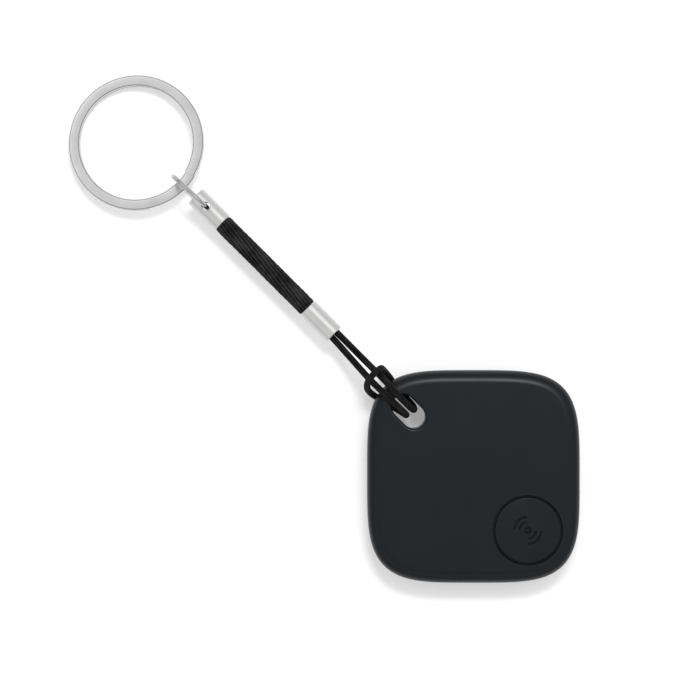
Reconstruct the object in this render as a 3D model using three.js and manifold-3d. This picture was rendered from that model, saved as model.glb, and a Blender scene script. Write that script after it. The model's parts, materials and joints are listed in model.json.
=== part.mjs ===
// Bluetooth tracker tag: a squircle casing with a round push button, on a corded lanyard with a twisted rope,
// two metal ferrules, a jump ring and a split key ring.
// Millimetres, +Z up, origin under the middle of the casing.
import * as THREE from "three";
import { mergeVertices } from "three/addons/utils/BufferGeometryUtils.js";
import Module from "manifold-3d";

const wasm = await Module();
wasm.setup();

// ---------- driving dimensions ----------
const CASE = { half: 19.5, power: 4, height: 8, edge: 2.2, wall: 1.2, roof: 1.1, floor: 1.2, split: 3.6 };
const OUTLINE_STEPS = 72;
const LIP = { from: 0.65, gap: 0.1, depth: 0.8, rebateIn: 4.2 };
const SEAL = { outer: 0.1, inner: 0.6, height: 0.4, drop: 0.3 }; // outer and inner start at the inner wall
const STRAP_TURN = (3 * Math.PI) / 4; // the lanyard leaves the corner between -X and +Y
const SLOT = { along: 16.8, width: 4.28, length: 6.94, post: 4.6, postFrom: 12.2 };
const RELIEF = { half: 3.5, depth: 1.65, from: 14.2 };
const BUTTON = { x: 9.8, y: -9.75, hole: 6.42, cap: 5.95, flange: 6.9, rim: 0.4, plate: 1.2, edge: 0.15 };
const BUTTON_POST = { radius: 1, low: 6.35 };
const BUTTON_GUIDE = { inner: 7.1, outer: 7.7, low: 6.2, high: 7.2 };
const PAD = { low: 5.55, high: 6.3, footIn: 2.9, footOut: 4.2, headIn: 2.4, headOut: 3.6 };
const SWITCH = { half: 1.7, high: 5.95, well: 0.95, wellLow: 5.65 };
const PLUNGER = { radius: 0.85, low: 5.98, high: 6.3 };
const BAY = { x: 1.55, y: -1.55, mouth: 13.05, seat: 11.3, outer: 14.2, top: 3.9, ledge: 1.05 };
const DOOR = { radius: 12.9, plate: 1, edge: 0.25, skirtOut: 11.05, skirtIn: 10.3, skirtTop: 2.6 };
const LUGS = { count: 3, first: 40, width: 20, radius: 11.9, root: 0.3, low: 1.9, high: 2.6 };
const TRACK = { twist: 30, slack: 3, inner: 10, outer: 12.1, drop: 0.1, roof: 2.75 };
const DOOR_SEAL = { inner: 12.15, outer: 12.55, low: 0.7, high: 1, fit: 0.05 };
const COIN = { radius: 14, width: 1.8, depth: 0.6 };
const CELL = { radius: 10, low: 1.2, high: 4.4, cap: 8.8, rim: 0.35 };
const BOARD = { low: 4.9, high: 5.5, inset: 1.9, slotFrom: 11.9, slotHalf: 4.9 };
const CLIP = { gap: 0.02, middle: 180, high: 4.88 };
const CLIP_LEAF = { thick: 0.2, half: 8, low: 2.9, high: 4.85 };
const CLIP_FOOT = { thick: 1, half: 6, low: 4.7 };
const CONTACT_WIDTH = 2.4;
const SOUNDER = { x: -4.2, y: 3.4, plate: 6.5, ceramic: 4.6, foamIn: 5.4 };
const SOUNDER_LEVELS = { ceramic: [6.02, 6.18], plate: [6.2, 6.4], foam: [6.42, 6.88] };
const CORD = { diameter: 1.2, sides: 8, steps: 78 };
const STRAP_Z = 4.65; // height of the rope's axis over the surface the tag lies on
const STRAP_SIDE = -0.33; // how far to the left of the slot's middle the rope's axis lies, looking outwards
const FERRULE = { radius: 1.89, edge: 0.2 };
const LOWER = { from: 36.5, to: 43.4, cordBore: 1.33, cordDepth: 3 };
const ROPE = { radius: 1.8, neck: 1.4, neckLength: 3, bore: 1.55, boreDepth: 3.2 };
const UPPER = { from: 65.4, to: 72.4, holeAt: 69.63, hole: 0.8 };
const RINGS_LEAN = 2.55; // degrees that the two rings are turned to the left about the ferrule's hole
const JUMP = { centre: 4.02, radius: 4.22, wire: 0.43 }; // its centre is measured from the ferrule's hole
const KEY = { outer: 12.5, band: 1.9, turn: 0.88, gap: 0.12, edge: 0.15, groove: 0.5 };
const LINK = { at: 6.18, z: 3.5 }; // where the key ring hangs in the jump ring, measured from the same hole

// The parts on the board: middle, then width, depth and height, in the casing's frame.
const CHIPS = {
  bluetooth_chip: { finish: "chip", at: [11.2, 8.4], size: [4, 4, 0.75] },
  crystal: { finish: "steel", at: [7.4, 11.2], size: [2, 1.6, 0.6] },
  chip_antenna: { finish: "ceramic", at: [-1, 15.2], size: [7, 2, 0.9] },
  status_led: { finish: "ceramic", at: [2.2, -13.6], size: [1.6, 0.8, 0.6] },
  voltage_regulator: { finish: "chip", at: [-6, -11.5], size: [2.6, 1.6, 0.7] },
  inductor: { finish: "chip", at: [-10.5, -9], size: [2.4, 2, 0.8] },
};
const CAPACITORS = { count: 3, from: 11, step: 1.6, y: 1.2, size: [0.8, 1.4, 0.5], land: [4.4, 0.6, 0.12] };

// The cord's route by the slot's diagonal: how far along it, how far to its left looking outwards, and up.
const LOOP_ROUTE = [
  [39.2, 0.29, 4.65], [36.5, 0.29, 4.65], [34.0, 0.4, 4.85], [31.5, 0.55, 5.6], [29.0, 0.7, 6.6],
  [26.9, 0.82, 7.5], [25.0, 0.86, 8.2], [23.0, 0.82, 8.7], [21.0, 0.76, 8.72], [19.2, 0.72, 8.45],
  [17.5, 0.7, 7.3], [16.75, 0.72, 5.6], [16.75, 0.8, 3.7], [17.6, 1.0, 1.95], [19.2, 1.4, 0.98],
  [21.0, 1.95, 0.78], [22.7, 2.3, 1.0], [23.9, 2.5, 2.0], [24.65, 2.5, 3.8], [25.15, 2.35, 5.8],
  [25.5, 2.08, 7.7], [25.8, 1.75, 8.7], [26.05, 1.2, 9.15], [26.2, 0.4, 9.35], [26.25, -0.4, 9.35],
  [26.2, -1.35, 9.15], [26.05, -1.95, 8.3], [25.85, -2.12, 6.6], [25.4, -2.12, 4.6], [24.7, -2.1, 2.9],
  [23.7, -2.0, 1.5], [22.3, -1.75, 0.85], [20.6, -1.6, 0.78], [18.9, -1.45, 1.05], [17.5, -1.4, 2.2],
  [16.6, -1.2, 3.9], [16.4, -0.92, 5.7], [17.2, -0.76, 7.4], [19.0, -0.74, 8.48], [21.0, -0.78, 8.72],
  [23.0, -0.9, 8.7], [25.0, -0.95, 8.2], [26.9, -0.94, 7.5], [29.0, -0.93, 6.6], [31.5, -0.94, 5.6],
  [34.0, -0.95, 4.85], [36.5, -0.95, 4.65], [39.2, -0.95, 4.65],
];

const FINISH = {
  shell: [0x24282b, 0.55, 0],
  button: [0x282c2f, 0.5, 0],
  silicone: [0xb9bcb6, 0.8, 0],
  board: [0x1f5a3a, 0.5, 0],
  chip: [0x17181a, 0.4, 0],
  ceramic: [0xe4ded0, 0.5, 0],
  steel: [0xc4c5c6, 0.3, 1],
  brass: [0xc9a24e, 0.35, 1],
  gold: [0xd0a85a, 0.3, 1],
  seal: [0x3a3d40, 0.8, 0],
  foam: [0x4b4d50, 0.95, 0],
  cord: [0x2b2b2c, 0.9, 0],
  satin: [0xb5b5b4, 0.35, 1],
};

// ---------- helpers ----------
function solid(geometry) {
  geometry.deleteAttribute("normal");
  geometry.deleteAttribute("uv");
  const merged = mergeVertices(geometry, 1e-4);
  return new wasm.Manifold(
    new wasm.Mesh({
      numProp: 3,
      vertProperties: merged.attributes.position.array,
      triVerts: new Uint32Array(merged.index.array),
    }),
  );
}

function geometryOf(body) {
  const mesh = body.getMesh();
  const geometry = new THREE.BufferGeometry();
  geometry.setAttribute("position", new THREE.BufferAttribute(mesh.vertProperties, 3));
  geometry.setIndex(new THREE.BufferAttribute(mesh.triVerts, 1));
  return geometry;
}

function named(name, finish, body) {
  const [color, roughness, metalness] = FINISH[finish];
  const geometry = body.isBufferGeometry ? body : geometryOf(body);
  const mesh = new THREE.Mesh(geometry, new THREE.MeshStandardMaterial({ color, roughness, metalness }));
  mesh.name = name;
  return mesh;
}

function joined(bodies) {
  return bodies.reduce((all, body) => all.add(body));
}

function cut(body, cutters) {
  return cutters.reduce((left, cutter) => left.subtract(cutter), body);
}

// A point of the casing's outline, moved inwards along its normal.
function outlinePoint(turn, inset) {
  const { half, power } = CASE;
  const round = (v) => Math.sign(v) * half * Math.abs(v) ** (2 / power);
  const x = round(Math.cos(turn));
  const y = round(Math.sin(turn));
  const normal = new THREE.Vector2(
    Math.sign(x) * Math.abs(x) ** (power - 1),
    Math.sign(y) * Math.abs(y) ** (power - 1),
  ).normalize();
  return new THREE.Vector2(x - inset * normal.x, y - inset * normal.y);
}

function outline(inset) {
  const points = [];
  for (let i = 0; i < OUTLINE_STEPS; i++) {
    points.push(outlinePoint(((i + 0.5) / OUTLINE_STEPS) * 2 * Math.PI, inset));
  }
  return new THREE.Shape(points);
}

function prism(shape, low, high) {
  const geometry = new THREE.ExtrudeGeometry(shape, { depth: high - low, bevelEnabled: false, steps: 1 });
  return solid(geometry.translate(0, 0, low));
}

function casingPrism(inset, low, high) {
  return prism(outline(inset), low, high);
}

// The whole casing's outer form, with a round edge above and below.
function casingForm() {
  const { height, edge } = CASE;
  const geometry = new THREE.ExtrudeGeometry(outline(0), {
    depth: height - 2 * edge,
    bevelThickness: edge,
    bevelSize: edge,
    bevelOffset: -edge,
    bevelSegments: 5,
    steps: 1,
  });
  return solid(geometry.translate(0, 0, edge));
}

function box(x0, x1, y0, y1, z0, z1) {
  const geometry = new THREE.BoxGeometry(x1 - x0, y1 - y0, z1 - z0);
  return solid(geometry.translate((x0 + x1) / 2, (y0 + y1) / 2, (z0 + z1) / 2));
}

function disc(x, y, radius, low, high, sides = 40) {
  const geometry = new THREE.CylinderGeometry(radius, radius, high - low, sides);
  return solid(geometry.rotateX(Math.PI / 2).translate(x, y, (low + high) / 2));
}

// A turned piece about the vertical line through (x, y): its profile is a closed list of [radius, height].
function turned(x, y, profile, sides = 40) {
  const closed = profile.every(([r]) => r > 0) ? [...profile, profile[0]] : profile;
  const points = closed.map(([r, z]) => new THREE.Vector2(r, z));
  return solid(new THREE.LatheGeometry(points, sides).rotateX(Math.PI / 2).translate(x, y, 0));
}

// A sector of a ring about (x, y), between two angles in degrees.
function sector(x, y, inner, outer, start, end, low, high) {
  const rad = THREE.MathUtils.degToRad;
  const shape = new THREE.Shape();
  shape.absarc(x, y, outer, rad(start), rad(end), false);
  shape.absarc(x, y, inner, rad(end), rad(start), true);
  const geometry = new THREE.ExtrudeGeometry(shape, {
    depth: high - low,
    bevelEnabled: false,
    curveSegments: 6,
  });
  return solid(geometry.translate(0, 0, low));
}

function stadium(along, width, length) {
  const radius = width / 2;
  const reach = (length - width) / 2;
  const shape = new THREE.Shape();
  shape.absarc(along + reach, 0, radius, -Math.PI / 2, Math.PI / 2, false);
  shape.absarc(along - reach, 0, radius, Math.PI / 2, (3 * Math.PI) / 2, false);
  return shape;
}

// Turns a body from the strap's frame into the casing's frame.
function alongStrap(body) {
  return body.rotate([0, 0, THREE.MathUtils.radToDeg(STRAP_TURN)]);
}

// ---------- casing ----------
function slotCutter() {
  return alongStrap(prism(stadium(SLOT.along, SLOT.width, SLOT.length), -1, CASE.height + 1));
}

// The solid block round the lanyard slot, which both shells carry a part of.
function slotPost(low, high) {
  return alongStrap(box(SLOT.postFrom, 2 * CASE.half, -SLOT.post, SLOT.post, low, high));
}

function reliefCutter() {
  return alongStrap(box(RELIEF.from, 2 * CASE.half, -RELIEF.half, RELIEF.half, -1, RELIEF.depth));
}

function frontShell() {
  const { split, height, wall, roof } = CASE;
  const upper = casingForm().intersect(box(-50, 50, -50, 50, split, height + 1));
  const cavity = casingPrism(wall, split - 2, height - roof).subtract(slotPost(0, height));
  const lip = casingPrism(LIP.from, split - LIP.depth, split + 0.5).subtract(
    casingPrism(wall, 0, height),
  );
  const post = slotPost(split - LIP.depth, split + 0.5).intersect(casingPrism(LIP.from, 0, height));
  const { inner, outer, low, high } = BUTTON_GUIDE;
  const guide = turned(BUTTON.x, BUTTON.y, [[inner, low], [outer, low], [outer, high], [inner, high]])
    .intersect(casingPrism(wall / 2, 0, height));
  const walls = joined([upper.subtract(cavity), lip, post, guide]);
  const buttonHole = disc(BUTTON.x, BUTTON.y, BUTTON.hole, 0, height + 1, 56);
  return cut(walls, [slotCutter(), buttonHole]);
}

function bayonetTrack(start) {
  const { twist, slack, inner, outer, drop, roof } = TRACK;
  const end = start + LUGS.width + slack;
  const entry = sector(BAY.x, BAY.y, inner, outer, start - slack, end, 0, roof);
  const track = sector(BAY.x, BAY.y, inner, outer, start - slack, end + twist, LUGS.low - drop, roof);
  return entry.add(track);
}

function lugStarts() {
  return Array.from({ length: LUGS.count }, (_, i) => LUGS.first + (i * 360) / LUGS.count);
}

function rearShell() {
  const { split, wall, floor } = CASE;
  const lower = casingForm().intersect(box(-50, 50, -50, 50, -1, split));
  const cavity = casingPrism(wall, floor, split + 1).subtract(slotPost(-1, split + 1));
  const rebate = casingPrism(LIP.from - LIP.gap, split - LIP.depth - LIP.gap, split + 1).subtract(
    casingPrism(LIP.rebateIn, 0, split + 1),
  );
  const bay = disc(BAY.x, BAY.y, BAY.outer, 0, BAY.top, 64).intersect(casingPrism(wall, 0, CASE.height));
  const mouth = disc(BAY.x, BAY.y, BAY.mouth, -1, BAY.ledge, 64);
  const bore = disc(BAY.x, BAY.y, BAY.seat, -1, BAY.top + 1, 64);
  const post = slotPost(split - LIP.depth - LIP.gap, split + 1);
  const tracks = lugStarts().map((start) => bayonetTrack(start - TRACK.twist));
  const walls = lower.subtract(cavity).subtract(rebate).subtract(post).add(bay);
  return cut(walls, [mouth, bore, ...tracks, slotCutter(), reliefCutter()]);
}

function caseSeal() {
  const low = CASE.split - LIP.depth - SEAL.height - SEAL.drop;
  const ring = casingPrism(CASE.wall + SEAL.outer, low, low + SEAL.height).subtract(
    casingPrism(CASE.wall + SEAL.inner, 0, CASE.height),
  );
  return cut(ring, [slotPost(0, CASE.height)]);
}

// ---------- battery door ----------
function batteryDoor() {
  const { radius, plate, edge, skirtOut, skirtIn, skirtTop } = DOOR;
  const form = turned(BAY.x, BAY.y, [
    [0, 0], [radius - edge, 0], [radius, edge], [radius, plate], [skirtOut, plate], [skirtOut, skirtTop],
    [skirtIn, skirtTop], [skirtIn, plate], [0, plate],
  ], 64);
  const lugs = lugStarts().map((start) =>
    sector(BAY.x, BAY.y, skirtOut - LUGS.root, LUGS.radius, start, start + LUGS.width, LUGS.low, LUGS.high),
  );
  const { fit } = DOOR_SEAL;
  const inner = DOOR_SEAL.inner - fit;
  const outer = DOOR_SEAL.outer + fit;
  const floor = DOOR_SEAL.low - fit;
  const groove = turned(BAY.x, BAY.y, [
    [inner, floor], [outer, floor], [outer, 2 * plate], [inner, 2 * plate],
  ], 64);
  // the coin slot is what a disc standing on edge would press into the plate
  const coin = new THREE.CylinderGeometry(COIN.radius, COIN.radius, COIN.width, 40);
  const slot = solid(coin.translate(BAY.x, BAY.y, COIN.depth - COIN.radius));
  return cut(joined([form, ...lugs]), [groove, slot]);
}

function doorSeal() {
  const { inner, outer, low, high } = DOOR_SEAL;
  return turned(BAY.x, BAY.y, [[inner, low], [outer, low], [outer, high], [inner, high]], 64);
}

// ---------- button and switch ----------
function buttonCap() {
  const { x, y, cap, flange, rim, plate, edge } = BUTTON;
  const { radius, low } = BUTTON_POST;
  const top = CASE.height;
  const underPlate = top - plate - rim;
  const underRoof = top - CASE.roof - 0.05;
  return turned(x, y, [
    [0, low], [radius, low], [radius, underPlate], [flange, underPlate], [flange, underRoof],
    [cap, underRoof], [cap, top - edge], [cap - edge, top], [0, top],
  ], 48);
}

function returnPad() {
  const { low, high, footIn, footOut, headIn, headOut } = PAD;
  return turned(BUTTON.x, BUTTON.y, [[footIn, low], [footOut, low], [headOut, high], [headIn, high]], 32);
}

function switchBody() {
  const { x, y } = BUTTON;
  const { half, high, well, wellLow } = SWITCH;
  return box(x - half, x + half, y - half, y + half, BOARD.high, high).subtract(
    disc(x, y, well, wellLow, high + 1, 20),
  );
}

function switchPlunger() {
  return disc(BUTTON.x, BUTTON.y, PLUNGER.radius, PLUNGER.low, PLUNGER.high, 20);
}

// ---------- electronics ----------
function circuitBoard() {
  const plate = casingPrism(BOARD.inset, BOARD.low, BOARD.high);
  const { slotFrom, slotHalf } = BOARD;
  return plate.subtract(alongStrap(box(slotFrom, 2 * CASE.half, -slotHalf, slotHalf, 0, CASE.height)));
}

function chip([x, y], [width, depth, height]) {
  return box(x - width / 2, x + width / 2, y - depth / 2, y + depth / 2, BOARD.high, BOARD.high + height);
}

function capacitors() {
  const { count, from, step, y, size, land } = CAPACITORS;
  const bars = Array.from({ length: count }, (_, i) => chip([from + i * step, y], size));
  return joined([chip([from + ((count - 1) / 2) * step, y], land), ...bars]);
}

function batteryCan() {
  const { radius, low, high, rim } = CELL;
  return turned(BAY.x, BAY.y, [
    [0, low], [radius - 0.3, low], [radius, low + 0.3], [radius, high - 0.5], [radius - 0.45, high - 0.25],
    [radius - 0.75, high - 0.25], [radius - 0.75, high - 0.5], [radius - rim, high - 0.6],
    [radius - rim, low + 0.5], [0, low + 0.5],
  ]);
}

function batteryInsulator() {
  const { radius, low, high, cap } = CELL;
  return turned(BAY.x, BAY.y, [
    [cap + 0.1, low + 0.6], [radius - 0.4, low + 0.6], [radius - 0.4, high - 0.7],
    [radius - 0.8, high - 0.55], [radius - 0.8, high - 0.3], [cap + 0.1, high - 0.3],
  ]);
}

function batteryCap() {
  const { low, high, cap } = CELL;
  return turned(BAY.x, BAY.y, [
    [0, low + 0.6], [cap, low + 0.6], [cap, high - 0.45], [cap - 0.35, high - 0.2], [cap - 0.9, high],
    [0, high],
  ]);
}

// A leaf that leans from the board down to the cell's middle.
function negativeContact() {
  const shape = new THREE.Shape([
    [-4, 4.88], [-4, 4.73], [-2.4, 4.7], [0, 4.42], [1.6, 4.42], [2.4, 4.55], [2.3, 4.7], [1.5, 4.57],
    [0.1, 4.57], [-2.2, 4.85], [-2.2, 4.88],
  ].map(([x, z]) => new THREE.Vector2(x, z)));
  const geometry = new THREE.ExtrudeGeometry(shape, { depth: CONTACT_WIDTH, bevelEnabled: false });
  return solid(geometry.rotateX(Math.PI / 2).translate(BAY.x, BAY.y + CONTACT_WIDTH / 2, 0));
}

// A clip that stands beside the cell and bears on the can's side.
function positiveContact() {
  const { gap, middle, high } = CLIP;
  const inner = CELL.radius + gap;
  const piece = ({ thick, half, low }, top) =>
    sector(BAY.x, BAY.y, inner, inner + thick, middle - half, middle + half, low, top);
  return piece(CLIP_LEAF, CLIP_LEAF.high).add(piece(CLIP_FOOT, high));
}

function sounderCeramic() {
  return disc(SOUNDER.x, SOUNDER.y, SOUNDER.ceramic, ...SOUNDER_LEVELS.ceramic);
}

function sounderPlate() {
  return disc(SOUNDER.x, SOUNDER.y, SOUNDER.plate, ...SOUNDER_LEVELS.plate);
}

function sounderFoam() {
  const { x, y, plate, foamIn } = SOUNDER;
  const [low, high] = SOUNDER_LEVELS.foam;
  return turned(x, y, [[foamIn, low], [plate, low], [plate, high], [foamIn, high]]);
}

// ---------- lanyard ----------
// A piece turned about the strap's axis: its profile is a list of [distance along the strap, radius].
function turnedOnStrap(profile, sides = 24) {
  const points = profile.map(([along, radius]) => new THREE.Vector2(radius, along));
  return solid(new THREE.LatheGeometry(points, sides).rotateZ(-Math.PI / 2).translate(0, 0, STRAP_Z));
}

function lanyardLoop() {
  const points = LOOP_ROUTE.map(([along, across, up]) => new THREE.Vector3(along, across, up));
  const section = new THREE.Shape();
  for (let i = 0; i < CORD.sides; i++) {
    const turn = (i / CORD.sides) * 2 * Math.PI;
    const x = (CORD.diameter / 2) * Math.cos(turn);
    const y = (CORD.diameter / 2) * Math.sin(turn);
    if (i) section.lineTo(x, y);
    else section.moveTo(x, y);
  }
  const extrudePath = new THREE.CatmullRomCurve3(points, false, "centripetal");
  return solid(new THREE.ExtrudeGeometry(section, { steps: CORD.steps, bevelEnabled: false, extrudePath }));
}

function lowerFerrule() {
  const { radius, edge } = FERRULE;
  const { from, to, cordBore, cordDepth } = LOWER;
  return turnedOnStrap([
    [from + cordDepth, 0], [from + cordDepth, cordBore], [from, cordBore], [from, radius - edge],
    [from + edge, radius], [to - edge, radius], [to, radius - edge],
    [to, ROPE.bore], [to - ROPE.boreDepth, ROPE.bore], [to - ROPE.boreDepth, 0],
  ]);
}

function twistedRope() {
  const { radius, neck, neckLength } = ROPE;
  const low = LOWER.to - neckLength;
  const high = UPPER.from + neckLength;
  return turnedOnStrap([
    [low, 0], [low, neck], [LOWER.to + 0.1, neck], [LOWER.to + 0.3, radius], [UPPER.from - 0.3, radius],
    [UPPER.from - 0.1, neck], [high, neck], [high, 0],
  ]);
}

function upperFerrule() {
  const { radius, edge } = FERRULE;
  const { from, to, holeAt, hole } = UPPER;
  const body = turnedOnStrap([
    [from + ROPE.boreDepth, 0], [from + ROPE.boreDepth, ROPE.bore], [from, ROPE.bore], [from, radius - edge],
    [from + edge, radius], [to - edge, radius], [to, radius - edge], [to, 0],
  ]);
  return body.subtract(disc(holeAt, 0, hole, 0, 2 * STRAP_Z, 24));
}

function jumpRing() {
  const ring = new THREE.TorusGeometry(JUMP.radius, JUMP.wire, 10, 48);
  return solid(ring.rotateX(Math.PI / 2).translate(JUMP.centre, 0, STRAP_Z));
}

// The split ring as one closed band with a groove between its two turns, tilted to rest on its far side.
function keyRing() {
  const { outer, band, turn, gap, edge, groove } = KEY;
  const half = turn + gap / 2;
  const inner = outer - band;
  const profile = [
    [inner, half - edge], [inner, gap / 2], [inner + groove, gap / 2], [inner + groove, -gap / 2],
    [inner, -gap / 2], [inner, edge - half], [inner + edge, -half], [outer - edge, -half],
    [outer, edge - half], [outer, -gap / 2], [outer - groove, -gap / 2], [outer - groove, gap / 2],
    [outer, gap / 2], [outer, half - edge], [outer - edge, half], [inner + edge, half],
  ];
  const middle = outer - band / 2;
  const tilt = Math.asin((LINK.z - half) / (middle + outer - edge));
  return turned(middle, 0, profile, 64)
    .rotate([0, THREE.MathUtils.radToDeg(tilt), 0])
    .translate([LINK.at, 0, LINK.z]);
}

// ---------- assembly ----------
function casing() {
  const group = new THREE.Group();
  group.add(named("front_shell", "shell", frontShell()));
  group.add(named("rear_shell", "shell", rearShell()));
  group.add(named("case_seal", "seal", caseSeal()));
  group.add(named("battery_door", "shell", batteryDoor()));
  group.add(named("door_seal", "seal", doorSeal()));
  group.add(named("button_cap", "button", buttonCap()));
  group.add(named("button_return_pad", "silicone", returnPad()));
  return group;
}

function electronics() {
  const group = new THREE.Group();
  group.add(named("circuit_board", "board", circuitBoard()));
  for (const [name, { finish, at, size }] of Object.entries(CHIPS)) {
    group.add(named(name, finish, chip(at, size)));
  }
  group.add(named("capacitor_bank", "ceramic", capacitors()));
  group.add(named("switch_body", "steel", switchBody()));
  group.add(named("switch_plunger", "chip", switchPlunger()));
  group.add(named("battery_can", "steel", batteryCan()));
  group.add(named("battery_insulator", "seal", batteryInsulator()));
  group.add(named("battery_negative_cap", "steel", batteryCap()));
  group.add(named("negative_contact", "gold", negativeContact()));
  group.add(named("positive_contact", "gold", positiveContact()));
  group.add(named("sounder_plate", "brass", sounderPlate()));
  group.add(named("sounder_ceramic", "ceramic", sounderCeramic()));
  group.add(named("sounder_foam_ring", "foam", sounderFoam()));
  return group;
}

// The rings hang in the upper ferrule's hole and turn about it.
function rings() {
  const group = new THREE.Group();
  group.position.x = UPPER.holeAt;
  group.rotation.z = THREE.MathUtils.degToRad(RINGS_LEAN);
  group.add(named("jump_ring", "steel", jumpRing()));
  group.add(named("key_ring", "steel", keyRing()));
  return group;
}

function hardware() {
  const group = new THREE.Group();
  group.position.y = STRAP_SIDE;
  group.add(named("lower_ferrule", "satin", lowerFerrule()));
  group.add(named("twisted_rope", "cord", twistedRope()));
  group.add(named("upper_ferrule", "satin", upperFerrule()));
  group.add(rings());
  return group;
}

function lanyard() {
  const group = new THREE.Group();
  group.rotation.z = STRAP_TURN;
  group.add(named("lanyard_loop", "cord", lanyardLoop()));
  group.add(hardware());
  return group;
}

const tag = new THREE.Group();
tag.add(casing(), electronics(), lanyard());

export default tag;
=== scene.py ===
import json
from math import asin, atan2, cos, floor, hypot, pi, radians, sin, sqrt

import bmesh
import bpy
from mathutils import Matrix, Vector


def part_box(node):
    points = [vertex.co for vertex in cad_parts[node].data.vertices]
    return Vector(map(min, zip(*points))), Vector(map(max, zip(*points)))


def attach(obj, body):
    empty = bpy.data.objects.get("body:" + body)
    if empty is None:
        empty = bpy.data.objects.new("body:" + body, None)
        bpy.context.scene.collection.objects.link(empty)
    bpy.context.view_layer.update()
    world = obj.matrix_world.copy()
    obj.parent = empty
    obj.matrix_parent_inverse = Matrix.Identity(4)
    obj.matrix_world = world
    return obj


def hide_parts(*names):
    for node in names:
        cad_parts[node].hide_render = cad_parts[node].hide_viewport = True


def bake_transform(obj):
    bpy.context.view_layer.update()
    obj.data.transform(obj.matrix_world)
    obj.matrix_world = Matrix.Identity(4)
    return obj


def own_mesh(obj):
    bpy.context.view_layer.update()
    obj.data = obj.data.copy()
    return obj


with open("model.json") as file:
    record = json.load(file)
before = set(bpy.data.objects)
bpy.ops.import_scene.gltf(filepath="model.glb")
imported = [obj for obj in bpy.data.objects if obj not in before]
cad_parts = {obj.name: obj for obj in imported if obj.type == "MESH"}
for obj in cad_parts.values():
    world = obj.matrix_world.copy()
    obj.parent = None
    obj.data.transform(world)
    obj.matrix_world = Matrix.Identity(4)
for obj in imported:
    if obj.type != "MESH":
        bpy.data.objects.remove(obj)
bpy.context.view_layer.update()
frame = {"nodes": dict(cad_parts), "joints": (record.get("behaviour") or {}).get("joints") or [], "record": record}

MM = 0.001

# ---------- sizes, in millimetres, worked out from the frame ----------
def box_mm(node):
    low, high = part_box(node)
    return [v / MM for v in low], [v / MM for v in high]


def joint_mm(name):
    found = next(j for j in frame["joints"] if j["name"] == name)
    return [v / MM for v in found["pos_m"]]


def beside_strap(point):
    """How far a point lies along the slot's diagonal, and how far to its left looking outwards."""
    x, y = point[:2]
    return (y - x) * sqrt(0.5), -(x + y) * sqrt(0.5)


FRONT_HIGH = box_mm("front_shell")[1]
HALF = FRONT_HIGH[0]
TOP = FRONT_HIGH[2]
SPLIT = 3.6  # the height of the seam between the shells
SEAM_EASE = ((0.12, 0.0), (0.03, 0.05), (0.0, 0.14))  # the seam's eased edge: inset, distance from it
POWER = 4  # the outline is a superellipse of this power
EDGE, EDGE_STEPS = 2.3, 16
WALL, ROOF, FLOOR = 1.2, 1.1, 1.2
LIP_INSET, LIP_DEPTH, LIP_GAP = 0.65, 0.8, 0.1
OUTLINE_STEPS = 256

BUTTON_LOW, BUTTON_HIGH = box_mm("button_cap")
BUTTON = [(a + b) / 2 for a, b in zip(BUTTON_LOW[:2], BUTTON_HIGH[:2])]
BUTTON_HOLE, BUTTON_CAP, BUTTON_FLANGE, BUTTON_HUB = 6.42, 5.95, 6.9, 1.0
CAP_DEPTH, FLANGE_DEPTH = 1.15, 0.45
PAD_LOW = 5.55
# the dome of the pad under the button: radius and height
PAD_PROFILE = (
    (2.9, PAD_LOW), (4.2, PAD_LOW), (4.15, 5.62), (3.6, 6.25),
    (3.5, 6.3), (2.5, 6.3), (2.42, 6.25), (2.86, 5.62),
)

DOOR_LOW, DOOR_HIGH = box_mm("battery_door")
DOOR_AT = [joint_mm("door_twist")[0], joint_mm("door_twist")[1]]
DOOR_RADIUS = (DOOR_HIGH[0] - DOOR_LOW[0]) / 2
DOOR_DISC, DOOR_TOP = 1.0, 2.6  # the tops of its disc and of the collar that carries the lugs
COLLAR_INNER, COLLAR_OUTER = 10.3, 11.05
LUG_INNER, LUG_OUTER, LUG_LOW, LUG_SPREAD = 10.75, 11.9, 1.9, 20
LUGS, LUG_START = 3, 40
SEAL_INNER, SEAL_OUTER, SEAL_FLOOR = 12.1, 12.6, 0.65
COIN_RADIUS, COIN_HALF, COIN_DEPTH = 14, 0.9, 0.6
ARC_INNER, ARC_OUTER, ARC_FROM, ARC_TO, ARC_DEPTH = 8.6, 9.0, 35, 75, 0.15
BAY_MOUTH, BAY_SEAT, BAY_OUTER, BAY_FLOOR, BAY_LEDGE, BAY_TOP = 13.05, 11.3, 14.2, 0.3, 1.05, 3.9
# each lug goes up through an entry and then turns in a track above it
TRACK_INNER, TRACK_OUTER, TRACK_LOW, TRACK_TOP = 10, 12.1, 1.8, 2.75
ENTRY_LOW, ENTRY_SPREAD, TRACK_SPREAD, TRACK_LEAD = 0.5, 26, 56, 33

SLOT_ALONG, SLOT_WIDTH, SLOT_LENGTH, SLOT_RIM = 16.8, 4.28, 6.94, 0.45
POST_HALF, POST_FROM = 4.6, 12.2
RELIEF_HALF, RELIEF_DEPTH, RELIEF_FROM = 3.5, 1.65, 14.2

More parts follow.
